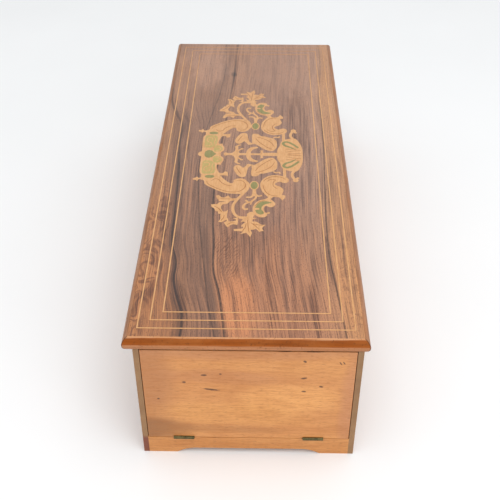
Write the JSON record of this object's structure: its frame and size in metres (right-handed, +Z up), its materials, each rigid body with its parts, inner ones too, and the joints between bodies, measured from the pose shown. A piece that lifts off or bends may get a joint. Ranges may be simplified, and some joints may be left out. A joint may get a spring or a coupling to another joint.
{
  "type": "cylinder music box",
  "caption": "Key-wind cylinder music box: inlaid hinged lid, drop flap at one end over the controls, and a pinned cylinder movement with comb, spring barrel and air-brake governor.",
  "frame": {"origin": "centre of the footprint, on the surface the box stands on", "axes": "+X along the case from the flap end to the far end, the front faces -Y, +Z up"},
  "size_m": [0.522, 0.1872, 0.1335],
  "materials": {
    "rosewood": "satin, faded figured veneer",
    "moulding": "gloss, polished",
    "boxwood": "satin inlay",
    "fruitwood": "satin, worn polish",
    "case_wood": "satin, stained",
    "softwood": "matte, bare",
    "brass": "satin, aged",
    "dark_brass": "tarnished",
    "bed_iron": "bronzed paint",
    "steel": "satin"
  },
  "bodies": {
    "case": {"back_board": "case_wood", "barrel_bridge_left": "brass", "barrel_bridge_right": "brass", "bedplate": "bed_iron", "bottom_board": "softwood", "case_screw_back_left": "brass", "case_screw_back_right": "brass", "case_screw_front_left": "brass", "case_screw_front_right": "brass", "click_spring": "steel", "comb": "steel", "comb_base": "bed_iron", "comb_screw_left": "steel", "comb_screw_middle": "steel", "comb_screw_right": "steel", "cylinder_bridge_left": "brass", "cylinder_bridge_right": "brass", "end_rail": "fruitwood", "endless_cock": "brass", "flap_hinge_rail_back": "dark_brass", "flap_hinge_rail_front": "dark_brass", "front_board": "case_wood", "governor_cheek_left": "brass", "governor_cheek_right": "brass", "lid_hinge_case_left": "brass", "lid_hinge_case_right": "brass", "partition": "softwood", "right_end_board": "case_wood", "rod_bracket": "brass"},
    "lid": {"lid_board": "softwood", "lid_veneer": "rosewood", "stringing_outer": "boxwood", "stringing_middle": "boxwood", "stringing_inner": "boxwood", "moulding_front": "moulding", "moulding_back": "moulding", "moulding_left": "moulding", "moulding_right": "moulding", "lid_hinge_lid_left": "brass", "lid_hinge_lid_right": "brass"},
    "flap": {"flap_board": "fruitwood", "flap_hinge_flap_front": "dark_brass", "flap_hinge_flap_back": "dark_brass"},
    "cylinder_arbor": {"cylinder_arbor": "steel"},
    "cylinder": {"cylinder": "brass", "great_wheel": "brass"},
    "snail": {"snail": "brass"},
    "barrel": {"barrel_drum": "brass", "barrel_wheel": "brass", "mainspring": "steel"},
    "winding": {"winding_arbor": "steel", "ratchet_wheel": "steel", "winding_key": "steel"},
    "click": {"click": "steel"},
    "governor_first": {"governor_first": "steel"},
    "governor_second": {"governor_second": "steel"},
    "endless": {"endless": "steel"},
    "start_stop": {"start_stop_lever": "steel"},
    "change_repeat": {"change_repeat_lever": "steel"},
    "instant_stop": {"instant_stop_lever": "steel"}
  },
  "joints": [
    {"name": "lid_hinge", "type": "hinge", "parent": "case", "child": "lid", "pos_m": [0, 0.08825, 0.121], "axis": [-1, 0, 0], "range_deg": [0, 100]},
    {"name": "flap_hinge", "type": "hinge", "parent": "case", "child": "flap", "pos_m": [-0.2584, 0, 0.01905], "axis": [0, -1, 0], "range_deg": [0, 100]},
    {"name": "cylinder_turn", "type": "hinge", "parent": "case", "child": "cylinder_arbor", "pos_m": [0, 0.012, 0.068], "axis": [1, 0, 0], "continuous": true},
    {"name": "tune_shift", "type": "slide", "parent": "cylinder_arbor", "child": "cylinder", "axis": [1, 0, 0], "range_m": [-0.0025, 0]},
    {"name": "snail_turn", "type": "hinge", "parent": "cylinder", "child": "snail", "pos_m": [0.2, 0.012, 0.054], "axis": [1, 0, 0], "range_deg": [0, 300]},
    {"name": "barrel_turn", "type": "hinge", "parent": "case", "child": "barrel", "pos_m": [-0.15, -0.02941, 0.075], "axis": [1, 0, 0], "continuous": true},
    {"name": "winding_turn", "type": "hinge", "parent": "case", "child": "winding", "pos_m": [-0.15, -0.02941, 0.075], "axis": [1, 0, 0], "continuous": true},
    {"name": "click_lift", "type": "hinge", "parent": "case", "child": "click", "pos_m": [-0.1915, -0.04141, 0.092], "axis": [1, 0, 0], "range_deg": [0, 12]},
    {"name": "first_turn", "type": "hinge", "parent": "case", "child": "governor_first", "pos_m": [0.21, 0.0424, 0.05677], "axis": [1, 0, 0], "continuous": true},
    {"name": "second_turn", "type": "hinge", "parent": "case", "child": "governor_second", "pos_m": [0.22, 0.0529, 0.07495], "axis": [1, 0, 0], "continuous": true},
    {"name": "endless_turn", "type": "hinge", "parent": "case", "child": "endless", "pos_m": [0.22125, 0.0407, 0.08], "axis": [0, 0, 1], "continuous": true},
    {"name": "start_stop_turn", "type": "hinge", "parent": "case", "child": "start_stop", "pos_m": [0, 0.044, 0.044], "axis": [1, 0, 0], "range_deg": [0, 25]},
    {"name": "change_repeat_turn", "type": "hinge", "parent": "case", "child": "change_repeat", "pos_m": [0, 0.053, 0.044], "axis": [1, 0, 0], "range_deg": [0, 25]},
    {"name": "instant_stop_turn", "type": "hinge", "parent": "case", "child": "instant_stop", "pos_m": [0, 0.062, 0.044], "axis": [1, 0, 0], "range_deg": [0, 20]}
  ],
  "couplings": [
    {"joint": "barrel_turn", "follows": "cylinder_turn", "ratio": -0.16667},
    {"joint": "first_turn", "follows": "cylinder_turn", "ratio": -8},
    {"joint": "second_turn", "follows": "cylinder_turn", "ratio": 48},
    {"joint": "endless_turn", "follows": "cylinder_turn", "ratio": 1920},
    {"joint": "snail_turn", "follows": "tune_shift", "rad_per_m": -2094.4}
  ]
}
